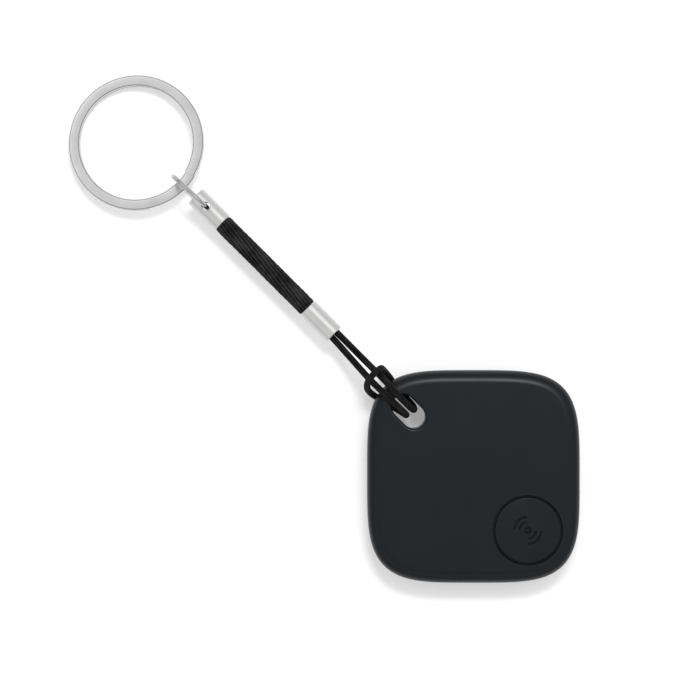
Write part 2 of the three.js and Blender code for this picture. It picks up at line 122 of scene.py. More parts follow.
STRAP_Z = joint_mm("lanyard_bend")[2]
CORD_DIAMETER = 1.2
FERRULE_RADIUS, FERRULE_RIM, BORE_RIM = 1.89, 0.22, 0.12
CORD_BORE, CORD_BORE_DEPTH = 1.33, 3.0
ROPE_BORE, ROPE_BORE_DEPTH = 1.55, 3.2
LOWER_FROM, LOWER_TO = 36.5, 43.4
UPPER_FROM, UPPER_TO = 65.4, 72.4
ROPE_RADIUS = 1.8
HOLE_AT, STRAP_SIDE = beside_strap(joint_mm("jump_ring_swing"))
HOLE_RADIUS = 0.8
JUMP_OUT, JUMP_RADIUS, JUMP_WIRE = 4.02, 4.22, 0.43  # its centre is measured from the hole
KEY_OUTER, KEY_BAND, KEY_TURN, KEY_GAP, KEY_EDGE = 12.5, 1.9, 0.88, 0.12, 0.15
KEY_RIM = 0.2
LINK_AT, LINK_SIDE = beside_strap(joint_mm("key_ring_fold"))
LINK_Z = joint_mm("key_ring_fold")[2]
LINK_OUT = hypot(LINK_AT - HOLE_AT, LINK_SIDE - STRAP_SIDE)
RINGS_LEAN = atan2(LINK_SIDE - STRAP_SIDE, LINK_AT - HOLE_AT)

BRAID_PAIRS = 5  # pairs of strands that run each way round the cord
BRAID_PITCH = 3.4  # the length in which one strand goes once round
ROPE_STRANDS = 17
ROPE_LAY = 80.0  # the length in which a strand goes once round

# the cord's route by the slot's diagonal: how far along it, how far to its left looking outwards, and up
LOOP_ROUTE = [
    (39.2, 0.29, 4.65), (36.5, 0.29, 4.65), (34.0, 0.4, 4.85), (31.5, 0.55, 5.6), (29.0, 0.7, 6.6),
    (26.9, 0.82, 7.5), (25.0, 0.86, 8.2), (23.0, 0.82, 8.7), (21.0, 0.76, 8.72), (19.2, 0.72, 8.45),
    (17.5, 0.7, 7.3), (16.75, 0.72, 5.6), (16.75, 0.8, 3.7), (17.6, 1.0, 1.95), (19.2, 1.4, 0.98),
    (21.0, 1.95, 0.78), (22.7, 2.3, 1.0), (23.9, 2.5, 2.0), (24.65, 2.5, 3.8), (25.15, 2.35, 5.8),
    (25.5, 2.08, 7.7), (25.8, 1.75, 8.7), (26.05, 1.2, 9.15), (26.2, 0.4, 9.35), (26.25, -0.4, 9.35),
    (26.2, -1.35, 9.15), (26.05, -1.95, 8.3), (25.85, -2.12, 6.6), (25.4, -2.12, 4.6), (24.7, -2.1, 2.9),
    (23.7, -2.0, 1.5), (22.3, -1.75, 0.85), (20.6, -1.6, 0.78), (18.9, -1.45, 1.05), (17.5, -1.4, 2.2),
    (16.6, -1.2, 3.9), (16.4, -0.92, 5.7), (17.2, -0.76, 7.4), (19.0, -0.74, 8.48), (21.0, -0.78, 8.72),
    (23.0, -0.9, 8.7), (25.0, -0.95, 8.2), (26.9, -0.94, 7.5), (29.0, -0.93, 6.6), (31.5, -0.94, 5.6),
    (34.0, -0.95, 4.85), (36.5, -0.95, 4.65), (39.2, -0.95, 4.65),
]


def strap(along, across, up):
    """A point of the strap's frame, in millimetres, as a point of the row's frame in metres."""
    r = sqrt(0.5) * MM
    return Vector((-r * (along + across), r * (along - across), up * MM))


STRAP_TURN = Matrix.Rotation(radians(135), 4, "Z")
RINGS_PLACE = (
    STRAP_TURN @ Matrix.Translation((HOLE_AT, STRAP_SIDE, 0)) @ Matrix.Rotation(RINGS_LEAN, 4, "Z")
)


# ---------- mesh helpers: everything is built in millimetres and put in place in metres ----------
def mesh_object(name, points, faces, scale=MM):
    mesh = bpy.data.meshes.new(name)
    mesh.from_pydata([Vector(p) * scale for p in points], [], faces)
    mesh.validate()
    work = bmesh.new()
    work.from_mesh(mesh)
    bmesh.ops.recalc_face_normals(work, faces=work.faces)
    work.to_mesh(mesh)
    work.free()
    obj = bpy.data.objects.new(name, mesh)
    bpy.context.scene.collection.objects.link(obj)
    return obj


def loft(name, rings, capped=True, looped=False):
    """Quads between rings of equal counts, closed at both ends, or round from the last to the first."""
    count = len(rings[0])
    points = [p for ring in rings for p in ring]
    faces = []
    pairs = len(rings) if looped else len(rings) - 1
    for i in range(pairs):
        a, b = i * count, ((i + 1) % len(rings)) * count
        for k in range(count):
            n = (k + 1) % count
            faces.append((a + k, a + n, b + n, b + k))
    if capped and not looped:
        faces.append(tuple(range(count)))
        faces.append(tuple(range(len(points) - count, len(points))))
    return mesh_object(name, points, faces)


def lathe(name, profile, at=(0, 0), steps=128):
    """Turns a profile of (radius, height) about the vertical line through at.

    A radius of 0 closes on the axis.
    """
    points, faces, rows = [], [], []
    for radius, height in profile:
        if radius == 0:
            rows.append([len(points)] * steps)
            points.append((at[0], at[1], height))
            continue
        rows.append(list(range(len(points), len(points) + steps)))
        for k in range(steps):
            turn = 2 * pi * k / steps
            points.append((at[0] + radius * cos(turn), at[1] + radius * sin(turn), height))
    open_ends = profile[0][0] == 0 and profile[-1][0] == 0
    pairs = len(rows) - 1 if open_ends else len(rows)
    for i in range(pairs):
        low, high = rows[i], rows[(i + 1) % len(rows)]
        for k in range(steps):
            n = (k + 1) % steps
            face = []
            for v in (low[k], low[n], high[n], high[k]):
                if v not in face:
                    face.append(v)
            if len(face) > 2:
                faces.append(face)
    return mesh_object(name, points, faces)


def fillet(cx, cz, radius, start, end, steps):
    """Points of an arc in a profile's plane, from start to end in degrees, ends included."""
    found = []
    for i in range(steps + 1):
        turn = radians(start + (end - start) * i / steps)
        found.append((cx + radius * cos(turn), cz + radius * sin(turn)))
    return found


def outline(inset):
    """The casing's squircle outline, moved inwards along its normal."""
    ring = []
    for i in range(OUTLINE_STEPS):
        turn = 2 * pi * (i + 0.5) / OUTLINE_STEPS
        c, s = cos(turn), sin(turn)
        x = HALF * abs(c) ** (2 / POWER) * (1 if c > 0 else -1)
        y = HALF * abs(s) ** (2 / POWER) * (1 if s > 0 else -1)
        nx = abs(x) ** (POWER - 1) * (1 if x > 0 else -1)
        ny = abs(y) ** (POWER - 1) * (1 if y > 0 else -1)
        long = sqrt(nx * nx + ny * ny)
        ring.append((x - inset * nx / long, y - inset * ny / long))
    return ring


def prism_rings(levels):
    """Rings of the outline at each (inset, height)."""
    return [[(x, y, z) for x, y in outline(inset)] for inset, z in levels]


def stadium(along, width, length, grow=0.0, steps=24):
    """The slot's outline in the row's frame, grown by a margin."""
    radius, reach = width / 2 + grow, (length - width) / 2
    ring = []
    for centre, start in ((along + reach, -90), (along - reach, 90)):
        for i in range(steps + 1):
            turn = radians(start + 180 * i / steps)
            ring.append((centre + radius * cos(turn), radius * sin(turn)))
    return [tuple((STRAP_TURN @ Vector((x, y, 0)))[:2]) for x, y in ring]


def strap_box(name, along, across, up):
    """A box in the strap's frame, from (low, high) pairs, given in the row's frame."""
    corners = [Vector((x, y, z)) for x in along for y in across for z in up]
    points = [STRAP_TURN @ p for p in corners]
    faces = [(0, 1, 3, 2), (4, 6, 7, 5), (0, 4, 5, 1), (2, 3, 7, 6), (0, 2, 6, 4), (1, 5, 7, 3)]
    return mesh_object(name, points, faces)


def ring_sector(name, at, inner, outer, start, end, low, high, steps=24):
    rings = []
    for i in range(steps + 1):
        turn = radians(start + (end - start) * i / steps)
        c, s = cos(turn), sin(turn)
        corners = ((inner, low), (outer, low), (outer, high), (inner, high))
        rings.append([(at[0] + r * c, at[1] + r * s, z) for r, z in corners])
    return loft(name, rings)


def boolean(obj, cutter, operation="DIFFERENCE"):
    """Joins, cuts or intersects, and keeps the result as obj's mesh. The cutter goes."""
    modifier = obj.modifiers.new("boolean", "BOOLEAN")
    modifier.object = cutter
    modifier.operation = operation
    modifier.solver = "EXACT"
    modifier.material_mode = "TRANSFER"
    bpy.context.view_layer.update()
    graph = bpy.context.evaluated_depsgraph_get()
    made = bpy.data.meshes.new_from_object(obj.evaluated_get(graph))
    old = obj.data
    obj.modifiers.clear()
    obj.data = made
    bpy.data.meshes.remove(old)
    bpy.data.objects.remove(cutter)


def smooth(obj, angle=32, weighted=True):
    """Smooth shading with sharp edges kept, and flat faces shaded flat beside their fillets."""
    obj.data.shade_smooth()
    obj.data.set_sharp_from_angle(angle=radians(angle))
    if weighted:
        modifier = obj.modifiers.new("weighted", "WEIGHTED_NORMAL")
        modifier.keep_sharp = True
        modifier.weight = 90


def place(obj, body, material, node):
    """Gives a finished piece its material and its body, and hides the CAD node it stands for."""
    materials = obj.data.materials
    for n in range(len(materials)):
        materials[n] = materials[n] or material
    if len(materials) == 0:
        materials.append(material)
    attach(obj, body)
    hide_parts(node)


# ---------- materials ----------
class Shader:
    """A Principled material with short ways to add nodes."""

    def __init__(self, name, base, roughness, metallic=0.0, specular=0.5):
        self.material = bpy.data.materials.new(name)
        self.material.use_nodes = True
        self.tree = self.material.node_tree
        self.main = next(n for n in self.tree.nodes if n.type == "BSDF_PRINCIPLED")
        self.main.inputs["Base Color"].default_value = (*base, 1)
        self.main.inputs["Roughness"].default_value = roughness
        self.main.inputs["Metallic"].default_value = metallic
        self.main.inputs["Specular IOR Level"].default_value = specular

    def node(self, kind, **values):
        made = self.tree.nodes.new(kind)
        for key, value in values.items():
            if key in made.inputs:
                made.inputs[key].default_value = value
            else:
                setattr(made, key, value)
        return made

    def link(self, source, target):
        self.tree.links.new(source, target)

    def coordinates(self, scale=(1, 1, 1), turn=0.0, kind="Object"):
        source = self.node("ShaderNodeTexCoord")
        mapping = self.node("ShaderNodeMapping")
        mapping.inputs["Scale"].default_value = scale
        mapping.inputs["Rotation"].default_value = (0, 0, turn)
        self.link(source.outputs[kind], mapping.inputs["Vector"])
        return mapping.outputs["Vector"]

    def noise(self, scale, detail=3, where=None, rough=0.5):
        made = self.node("ShaderNodeTexNoise", Scale=scale, Detail=detail, Roughness=rough)
        self.link(where or self.coordinates(), made.inputs["Vector"])
        return made.outputs["Fac"]

    def ramp(self, value, stops):
        made = self.node("ShaderNodeValToRGB")
        while len(made.color_ramp.elements) < len(stops):
            made.color_ramp.elements.new(0.5)
        for element, (at, colour) in zip(made.color_ramp.elements, stops):
            element.position = at
            element.color = (*colour, 1)
        self.link(value, made.inputs["Fac"])
        return made.outputs["Color"]

    def span(self, value, low, high):
        """Maps 0..1 to low..high."""
        made = self.node("ShaderNodeMapRange")
        made.inputs["To Min"].default_value = low
        made.inputs["To Max"].default_value = high
        self.link(value, made.inputs["Value"])
        return made.outputs["Result"]

    def maths(self, operation, a, b):
        made = self.node("ShaderNodeMath", operation=operation)
        for socket, value in zip(made.inputs, (a, b)):
            if isinstance(value, (int, float)):
                socket.default_value = value
            else:
                self.link(value, socket)
        return made.outputs["Value"]

    def bump(self, height, distance, strength=1.0):
        made = self.node("ShaderNodeBump", Strength=strength, Distance=distance)
        self.link(height, made.inputs["Height"])
        self.link(made.outputs["Normal"], self.main.inputs["Normal"])

    def colour(self, source):
        self.link(source, self.main.inputs["Base Color"])

    def roughness(self, source):
        self.link(source, self.main.inputs["Roughness"])


def shade(share, base):
    """The base colour made darker or lighter."""
    return tuple(share * b for b in base)


def moulded_plastic(name, base, roughness, specular):
    """Black plastic from a spark-eroded mould: a fine grain, cloudy gloss and edges polished by handling."""
    s = Shader(name, base, roughness, specular=specular)
    grain = s.noise(9000, 2)
    cloud = s.noise(160, 3)
    worn = s.span(s.node("ShaderNodeNewGeometry").outputs["Pointiness"], -0.9, 1.1)
    edges = s.ramp(worn, [(0.0, (0, 0, 0)), (0.62, (0, 0, 0)), (0.9, (1, 1, 1))])
    wear = s.maths("MULTIPLY", edges, 0.12)
    rough = s.maths("SUBTRACT", s.span(cloud, roughness - 0.05, roughness + 0.05), wear)
    s.roughness(rough)
    s.colour(s.ramp(grain, [(0.25, shade(0.82, base)), (0.75, shade(1.18, base))]))
    s.bump(grain, 0.000006, 0.6)
    return s.material


def dark_groove():
    s = Shader("groove_paint", (0.0035, 0.0045, 0.005), 0.7, specular=0.1)
    s.bump(s.noise(9000, 2), 0.000005, 0.5)
    return s.material


UV_ROUND = pi * CORD_DIAMETER * MM  # what once round measures in the UV map of the cord and of the rope


def braid(name, base, families):
    """Polyester yarn: strands with painted shade in the valleys between them and a painted highlight on their
    tops, fine filaments, lint and a soft sheen.

    Each family of strands is how many lie side by side round the cord, and the length of one turn in metres.
    """
    s = Shader(name, base, 0.8, specular=0.05)
    s.main.inputs["Sheen Weight"].default_value = 0.04
    s.main.inputs["Sheen Roughness"].default_value = 0.5
    split = s.node("ShaderNodeSeparateXYZ")
    s.link(s.node("ShaderNodeTexCoord").outputs["UV"], split.inputs[0])
    ridge = None
    for count, pitch in families:
        along = s.maths("MULTIPLY", split.outputs["X"], -count / pitch)
        phase = s.maths("ADD", s.maths("MULTIPLY", split.outputs["Y"], count / UV_ROUND), along)
        top = s.maths("PINGPONG", phase, 0.5)
        ridge = top if ridge is None else s.maths("MINIMUM", ridge, top)
    fibre = s.noise(9, 3, s.coordinates((90, 2600, 1), 0.0, "UV"))
    patch = s.noise(1, 3, s.coordinates((240, 900, 1), 0.0, "UV"), 0.6)
    lint = s.noise(5200, 2)
    mixed = s.maths("ADD", s.maths("MULTIPLY", fibre, 0.4), s.maths("MULTIPLY", patch, 0.6))
    # the strand pattern adds painted shade in the valleys between strands and a painted highlight on their tops to
    # the random tone of fibres and patches
    tone_and_painted_light = s.maths("ADD", mixed, s.maths("MULTIPLY", s.maths("SUBTRACT", ridge, 0.28), 0.5))
    s.colour(s.ramp(tone_and_painted_light, [(0.38, shade(0.12, base)), (0.5, base), (0.64, shade(2.6, base))]))
    s.roughness(s.span(lint, 0.66, 0.88))
    s.bump(s.maths("ADD", fibre, s.maths("MULTIPLY", lint, 0.5)), 0.00003, 0.7)
    return s.material


def satin_nickel(name, base, turn, along, around):
    """Nickel-plated brass with fine turning marks."""
    s = Shader(name, base, 0.32, metallic=1.0)
    marks = s.noise(1, 4, s.coordinates((along, around, around), turn), 0.6)
    cloud = s.noise(420, 3)
    s.roughness(s.maths("ADD", s.span(cloud, 0.37, 0.45), s.maths("MULTIPLY", marks, 0.08)))
    s.colour(s.ramp(cloud, [(0.3, shade(0.93, base)), (0.7, base)]))
    s.bump(marks, 0.0000012, 0.6)
    return s.material


def spring_steel(name, base):
    """Plated spring steel with tumbling scratches."""
    s = Shader(name, base, 0.22, metallic=1.0)
    cloud = s.noise(300, 3)
    scratch = s.noise(1, 3, s.coordinates((9000, 400, 400), 0.7), 0.7)
    s.roughness(s.maths("ADD", s.span(cloud, 0.13, 0.2), s.maths("MULTIPLY", scratch, 0.06)))
    s.colour(s.ramp(cloud, [(0.3, shade(0.92, base)), (0.75, base)]))
    s.bump(scratch, 0.0000012, 0.5)
    return s.material


def plain_finish(name, base, roughness, metallic, grain, depth):
    """An inner part's finish: colour variation, gloss variation and a grain of its own size."""
    s = Shader(name, base, roughness, metallic=metallic)
    cloud = s.noise(grain, 3)
    s.colour(s.ramp(cloud, [(0.3, shade(0.8, base)), (0.7, shade(1.1, base))]))
    s.roughness(s.span(cloud, max(0.05, roughness - 0.08), min(1, roughness + 0.08)))
    s.bump(cloud, depth, 0.6)
    return s.material


def circuit_green():
    """Solder mask over tracks: straight runs between pads under the green."""
    s = Shader("solder_mask", (0.012, 0.09, 0.036), 0.35, specular=0.5)
    tracks = s.node("ShaderNodeTexBrick", Scale=420.0)
    tracks.inputs["Mortar Size"].default_value = 0.03
    s.link(s.coordinates(), tracks.inputs["Vector"])
    s.colour(s.ramp(tracks.outputs["Fac"], [(0.0, (0.012, 0.09, 0.036)), (1.0, (0.03, 0.16, 0.07))]))
    s.bump(tracks.outputs["Fac"], 0.00002, 0.5)
    return s.material


SHELL = moulded_plastic("shell_plastic", (0.0022, 0.0042, 0.0058), 0.36, 0.19)
BUTTON_PLASTIC = moulded_plastic("button_plastic", (0.002, 0.0039, 0.0054), 0.36, 0.19)
GROOVE = dark_groove()
BRAID_WAYS = [(2 * BRAID_PAIRS, BRAID_PITCH * MM), (2 * BRAID_PAIRS, -BRAID_PITCH * MM)]
BRAID = braid("black_braid", (0.0085, 0.0085, 0.0088), BRAID_WAYS)
YARN = braid("black_yarn", (0.0115, 0.0115, 0.0117), [(ROPE_STRANDS, ROPE_LAY * MM)])
STRAP_ANGLE = -radians(135)
SATIN = satin_nickel("satin_nickel", (0.62, 0.62, 0.615), STRAP_ANGLE, 16000, 260)
RING_STEEL = spring_steel("ring_steel", (0.84, 0.84, 0.835))
# a darker copy of the ring's steel: painted shade for the rounded corners of its wire
RIM_SHADE_STEEL = spring_steel("ring_rim_painted_shade", (0.36, 0.36, 0.36))
LINK_STEEL = spring_steel("link_steel", (0.46, 0.46, 0.46))
INNER = {
    "seal": plain_finish("black_rubber", (0.03, 0.033, 0.036), 0.7, 0, 3000, 0.00001),
    "silicone": plain_finish("silicone", (0.45, 0.47, 0.44), 0.6, 0, 1500, 0.000008),
    "board": circuit_green(),
    "chip": plain_finish("moulded_epoxy", (0.012, 0.012, 0.013), 0.5, 0, 6000, 0.000008),
    "ceramic": plain_finish("ceramic", (0.7, 0.66, 0.56), 0.4, 0, 2500, 0.000005),
    "steel": plain_finish("cell_steel", (0.6, 0.6, 0.6), 0.28, 1, 1800, 0.000003),
    "gold": plain_finish("gold_plate", (0.8, 0.52, 0.18), 0.25, 1, 2500, 0.000002),
    "brass": plain_finish("rolled_brass", (0.72, 0.49, 0.16), 0.3, 1, 900, 0.000003),
    "foam": plain_finish("foam", (0.06, 0.06, 0.065), 0.95, 0, 4500, 0.00006),
}


# ---------- camera ----------
VIEW_AT = (-22.63, 23.18)
VIEW_WIDTH = 128.8
LENS, SENSOR = 135.0, 36.0
FOCUS_Z = 4.0


def camera():
    data = bpy.data.cameras.new("camera")
    data.lens, data.sensor_width = LENS, SENSOR
    data.clip_start, data.clip_end = 0.01, 20.0
    obj = bpy.data.objects.new("camera", data)
    distance = VIEW_WIDTH * LENS / SENSOR
    obj.location = Vector((VIEW_AT[0], VIEW_AT[1], FOCUS_Z + distance)) * MM
    bpy.context.scene.collection.objects.link(obj)
    bpy.context.scene.camera = obj


camera()


# ---------- cords ----------
def route_points(points, per_step=24):
    """A smooth centripetal curve through the points, the same one that the frame's tube follows."""
    knots = [Vector(p) for p in points]
    first, last = 2 * knots[0] - knots[1], 2 * knots[-1] - knots[-2]
    knots = [first, *knots, last]
    found = []
    for i in range(1, len(knots) - 2):
        a, b, c, d = knots[i - 1 : i + 3]
        ta, tb, tc = (sqrt((q - p).length) for p, q in ((a, b), (b, c), (c, d)))
        out = ((b - a) / ta - (c - a) / (ta + tb) + (c - b) / tb) * tb
        into = ((c - b) / tb - (d - b) / (tb + tc) + (d - c) / tc) * tb
        for k in range(per_step):
            t = k / per_step
            found.append(
                b * (2 * t**3 - 3 * t**2 + 1) + out * (t**3 - 2 * t**2 + t)
                + c * (3 * t**2 - 2 * t**3) + into * (t**3 - t**2)
            )
    found.append(knots[-2])
    return found


def evenly(points, step):
    """The same line with points a step apart."""
    lengths = [0.0]
    for p, q in zip(points, points[1:]):
        lengths.append(lengths[-1] + (q - p).length)
    count = max(2, round(lengths[-1] / step))
    found, k = [], 0
    for i in range(count + 1):
        at = lengths[-1] * i / count
        while k < len(points) - 2 and lengths[k + 1] < at:
            k += 1
        share = (at - lengths[k]) / max(1e-9, lengths[k + 1] - lengths[k])
        found.append(points[k].lerp(points[k + 1], min(1.0, max(0.0, share))))
    return found, lengths[-1]


def sweep(name, line, radius_at, around, step):
    """A closed tube along a line in metres. radius_at(distance, turn) and step are in millimetres."""
    last = len(line) - 1
    tangents = [(line[min(i + 1, last)] - line[max(i - 1, 0)]).normalized() for i in range(len(line))]
    side = tangents[0].orthogonal().normalized()
    points, faces = [], []
    for i, (centre, tangent) in enumerate(zip(line, tangents)):
        side = (side - tangent * side.dot(tangent)).normalized()
        other = tangent.cross(side)
        for k in range(around):
            turn = 2 * pi * k / around
            radius = radius_at(i * step, turn) * MM
            points.append(centre + radius * (cos(turn) * side + sin(turn) * other))
    for i in range(last):
        a, b = i * around, (i + 1) * around
        for k in range(around):
            n = (k + 1) % around
            faces.append((a + k, a + n, b + n, b + k))
    for first in (0, last * around):
        faces.append(tuple(range(first, first + around)))
    obj = mesh_object(name, points, faces, 1.0)
    map_along(obj, around, step)
    return obj


def map_along(obj, around, step):
    """A tube's UV map, in metres: the way along it, and the way round it scaled to the thin cord."""
    layer = obj.data.uv_layers.new(name="along")
    for face in obj.data.polygons:
        rows = [obj.data.loops[n].vertex_index for n in face.loop_indices]
        wraps = any(v % around == 0 for v in rows) and any(v % around == around - 1 for v in rows)
        for n, v in zip(face.loop_indices, rows):
            k = v % around
            if wraps and k == 0 and len(rows) == 4:
                k = around
            layer.data[n].uv = ((v // around) * step * MM, k / around * UV_ROUND)


BRAID_DEPTH = 0.085
BRAID_PROUD = 0.03  # how far the strands' tops stand over the cord's nominal radius


def braid_radius(distance, turn):
    """The cord's radius: strands cross over and under each other in diamonds."""
    forward = BRAID_PAIRS * (turn / pi + 2 * distance / BRAID_PITCH)
    back = BRAID_PAIRS * (turn / pi - 2 * distance / BRAID_PITCH)
    over = (floor(forward) + floor(back)) % 2 == 0
    top, low = (forward, back) if over else (back, forward)
    ridge = sin(pi * (top - floor(top))) ** 0.55
    lie = 0.55 + 0.45 * sin(pi * (low - floor(low)))
    return CORD_DIAMETER / 2 + BRAID_PROUD - BRAID_DEPTH * (1 - ridge * lie)


STRAND_RADIUS = 0.4
STRAND_AT = ROPE_RADIUS - STRAND_RADIUS
PLY_PITCH = 1.1  # the length in which a strand's own plies go once round
PLY_DEPTH = 0.018
SWELL = 0.02


def rope_radius(distance, turn):
    """Fine strands laid side by side round a core, each with its own twist and a slow swell."""
    pitch = 2 * pi / ROPE_STRANDS
    phase = (turn - 2 * pi * distance / ROPE_LAY) / pitch
    strand = floor(phase) % ROPE_STRANDS
    off = (phase - floor(phase) - 0.5) * pitch
    reach = STRAND_AT * cos(off) + sqrt(max(0.0, STRAND_RADIUS**2 - (STRAND_AT * sin(off)) ** 2))
    ply = sin(2 * pi * distance / PLY_PITCH + 14 * off + 2.1 * strand)
    swell = sin(0.75 * distance + 1.9 * strand) * sin(0.31 * distance + 0.8 * strand)
    return min(ROPE_RADIUS, reach - PLY_DEPTH * (1 - ply) - SWELL * (1 + swell))


def lanyard_loop():
    step = 0.07
    line, length = evenly(route_points(LOOP_ROUTE), step)
    path = [strap(*p) for p in line]
    obj = sweep("braided_loop", path, braid_radius, 40, length / (len(line) - 1))
    smooth(obj, 60, weighted=False)
    obj.data.materials.append(BRAID)
    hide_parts("lanyard_loop")
    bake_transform(obj)
    return obj, path, length


def rope():
    step = 0.08
    low, high = LOWER_TO - 3, UPPER_FROM + 3
    ends = [Vector((along, STRAP_SIDE, STRAP_Z)) for along in (low, high)]
    line, length = evenly(ends, step)
    real_step = length / (len(line) - 1)

    def radius(distance, turn):
        # the ends are squeezed inside the ferrules
        along = low + distance
        inside = max(LOWER_TO + 0.25 - along, along - UPPER_FROM + 0.25, 0)
        squeeze = 1 - 0.22 * min(1, inside / 0.5)
        return rope_radius(distance, turn) * squeeze

    obj = sweep("laid_rope", [strap(*p) for p in line], radius, 238, real_step)
    smooth(obj, 50, weighted=False)
    obj.data.materials.append(YARN)
    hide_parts("twisted_rope")
    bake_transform(obj)


LOOP, LOOP_PATH, LOOP_LENGTH = lanyard_loop()
rope()


# ---------- casing: every cutter reaches a little past what it cuts ----------
def slot_cutter():
    """The lanyard slot through both shells, with rounded rims above and below."""
    rim = SLOT_RIM
    rounding = [(rim * sin(radians(a)), rim * cos(radians(a))) for a in range(0, 91, 10)]
    levels = [(rim + 0.2, TOP + 0.5)]
    levels += [(rim - s, TOP - rim + c) for s, c in rounding]
    levels += [(rim - c, rim - s) for s, c in rounding]
    levels += [(rim + 0.2, -0.5)]
    rings = []
    for grow, z in levels:
        rings.append([(x, y, z) for x, y in stadium(SLOT_ALONG, SLOT_WIDTH, SLOT_LENGTH, grow)])
    return loft("slot_cutter", rings)


def post(low, high):
    """The solid corner round the slot, out past the casing."""
    return strap_box("post", (POST_FROM, 40), (-POST_HALF, POST_HALF), (low, high))


def button_hole_cutter():
    rim = 0.05
    wide = BUTTON_HOLE + rim
    profile = [(0, TOP + 0.4), (wide + 0.1, TOP + 0.4), (wide, TOP)]
    profile += [(wide - rim * sin(radians(a)), TOP - rim + rim * cos(radians(a))) for a in (30, 60, 90)]
    profile += [(BUTTON_HOLE, 1), (0, 1)]
    return lathe("button_hole", profile, BUTTON, 160)


def front_shell():
    levels = [(inset, SPLIT + off) for inset, off in SEAM_EASE]
    levels += [(EDGE - r, z) for r, z in fillet(0, TOP - EDGE, EDGE, 0, 90, EDGE_STEPS)]
    shell = loft("front_case", prism_rings(levels))
    cavity = loft("cavity", prism_rings([(WALL, SPLIT - 1), (WALL, TOP - ROOF)]))
    boolean(cavity, post(-1, TOP + 1))
    boolean(shell, cavity)
    lip = loft("lip", prism_rings([(LIP_INSET, SPLIT - LIP_DEPTH), (LIP_INSET, SPLIT + 0.5)]))
    hollow = loft("hollow", prism_rings([(WALL, 0), (WALL, TOP)]))
    boolean(hollow, post(-1, TOP + 1))
    boolean(lip, hollow)
    boolean(shell, lip, "UNION")
    boolean(shell, slot_cutter())
    boolean(shell, button_hole_cutter())
    smooth(shell)
    place(shell, "tag", SHELL, "front_shell")


def lug_angles():
    return [LUG_START + 360 // LUGS * i for i in range(LUGS)]


def rear_shell():
    levels = [(EDGE + r, z) for r, z in fillet(0, EDGE, EDGE, 270, 180, EDGE_STEPS)]
    levels += [(inset, SPLIT - off) for inset, off in reversed(SEAM_EASE)]
    shell = loft("rear_case", prism_rings(levels))
    inner = LIP_INSET - LIP_GAP
    cavity = loft("cavity", prism_rings([(WALL, FLOOR), (WALL, SPLIT + 1)]))
    boolean(cavity, post(-1, SPLIT + 2))
    boolean(shell, cavity)
    boolean(shell, loft("rebate", prism_rings([(inner, SPLIT - LIP_DEPTH - LIP_GAP), (inner, SPLIT + 1)])))
    battery_bay(shell)
    boolean(shell, slot_cutter())
    relief = strap_box("relief", (RELIEF_FROM, 40), (-RELIEF_HALF, RELIEF_HALF), (-1, RELIEF_DEPTH))
    bevel(relief, 0.4, 5)
    boolean(shell, relief)
    smooth(shell)
    place(shell, "tag", SHELL, "rear_shell")


def battery_bay(shell):
    """The round wall the battery and the door sit in, its stepped mouth, and the lugs' entries and tracks."""
    wall = [(0, BAY_FLOOR), (BAY_OUTER, BAY_FLOOR), (BAY_OUTER, BAY_TOP), (0, BAY_TOP)]
    bay = lathe("bay", wall, DOOR_AT, 192)
    inside = loft("inside", prism_rings([(WALL, -1), (WALL, TOP)]))
    boolean(bay, inside, "INTERSECT")
    boolean(shell, bay, "UNION")
    rim = 0.15
    mouth = [
        (0, -1), (BAY_MOUTH + rim, -1), (BAY_MOUTH + rim, 0), (BAY_MOUTH + 0.04, rim * 0.6), (BAY_MOUTH, rim),
        (BAY_MOUTH, BAY_LEDGE), (BAY_SEAT, BAY_LEDGE), (BAY_SEAT, BAY_TOP + 1), (0, BAY_TOP + 1),
    ]
    boolean(shell, lathe("mouth", mouth, DOOR_AT, 192))
    for start in lug_angles():
        low = start - TRACK_LEAD
        for spread, floor_z in ((ENTRY_SPREAD, ENTRY_LOW), (TRACK_SPREAD, TRACK_LOW)):
            way = ring_sector(
                "lug_way", DOOR_AT, TRACK_INNER, TRACK_OUTER, low, low + spread, floor_z, TRACK_TOP
            )
            boolean(shell, way)


def bevel(obj, width, segments):
    """Rounds all of a cutter's edges."""
    work = bmesh.new()
    work.from_mesh(obj.data)
    bmesh.ops.bevel(
        work, geom=work.edges[:], offset=width * MM, segments=segments, profile=0.5, affect="EDGES"
    )
    work.to_mesh(obj.data)
    work.free()


def coin_cutter():
    """A disc on edge, for a coin slot with a round floor."""
    half, radius = COIN_HALF, COIN_RADIUS
    coin = lathe("coin", [(0, -half), (radius, -half), (radius, half), (0, half)], (0, 0), 256)
    centre = Vector((DOOR_AT[0], DOOR_AT[1], COIN_DEPTH - radius)) * MM
    coin.data.transform(Matrix.Translation(centre) @ Matrix.Rotation(pi / 2, 4, "X"))
    return coin


